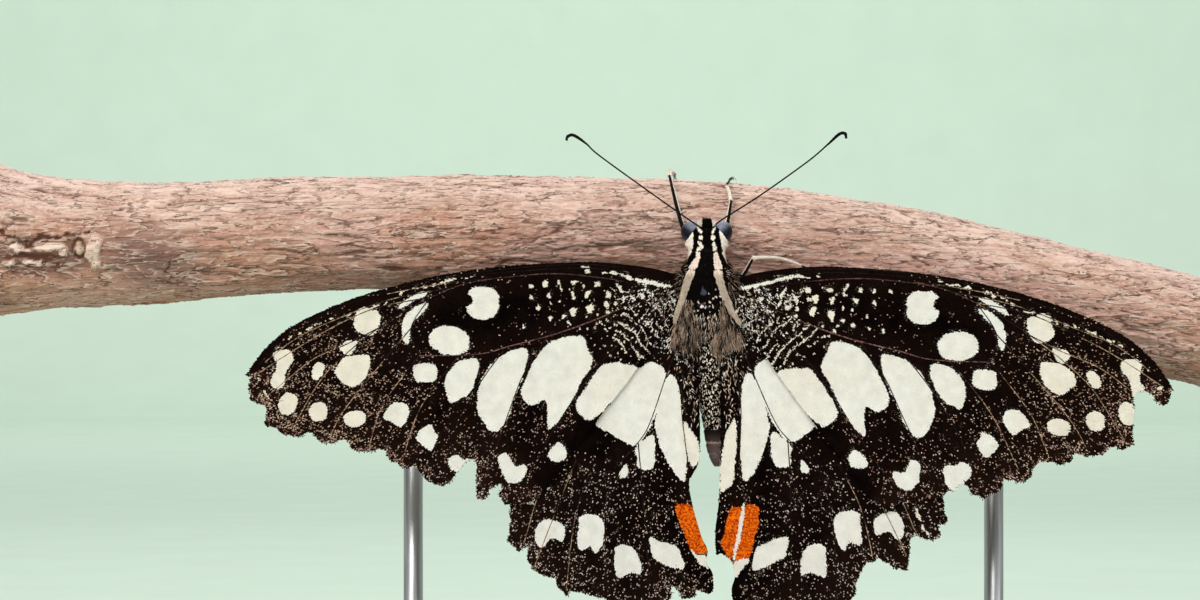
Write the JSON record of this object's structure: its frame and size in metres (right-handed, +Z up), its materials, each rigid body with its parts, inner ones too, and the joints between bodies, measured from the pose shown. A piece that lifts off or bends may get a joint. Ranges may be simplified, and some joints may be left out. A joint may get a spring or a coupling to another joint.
{
  "type": "lime swallowtail butterfly on a perch and display stand",
  "caption": "Life-size spread swallowtail butterfly, seen from above, gripping a short cut branch that slim rods hold over a flat base.",
  "frame": {"origin": "centre of the base's underside, below the butterfly's midline", "axes": "+X to the right of a viewer who faces the upper side of the wings, +Y from that viewer towards the branch, +Z up, the way the head points"},
  "size_m": [0.127, 0.056, 0.0629],
  "materials": {
    "body": "matte hair over dark skin",
    "eye": "smooth and glossy",
    "feeler": "satin",
    "wing": "matte scales with pale spots",
    "leg": "fine flat scales",
    "branch": "weathered bark",
    "stand_base": "dark satin",
    "stand_rod": "brushed"
  },
  "bodies": {
    "root": {"head": "body", "thorax": "body", "abdomen": "body", "palp_left": "body", "palp_right": "body", "eye_left": "eye", "eye_right": "eye", "antenna_left": "feeler", "antenna_right": "feeler", "proboscis": "feeler", "forewing_left": "wing", "forewing_right": "wing", "hindwing_left": "wing", "hindwing_right": "wing", "foreleg_left": "leg", "foreleg_right": "leg", "midleg_left": "leg", "midleg_right": "leg", "hindleg_left": "leg", "hindleg_right": "leg", "perch": "branch", "stand_base": "stand_base", "stand_rod_left": "stand_rod", "stand_rod_right": "stand_rod"}
  },
  "joints": []
}
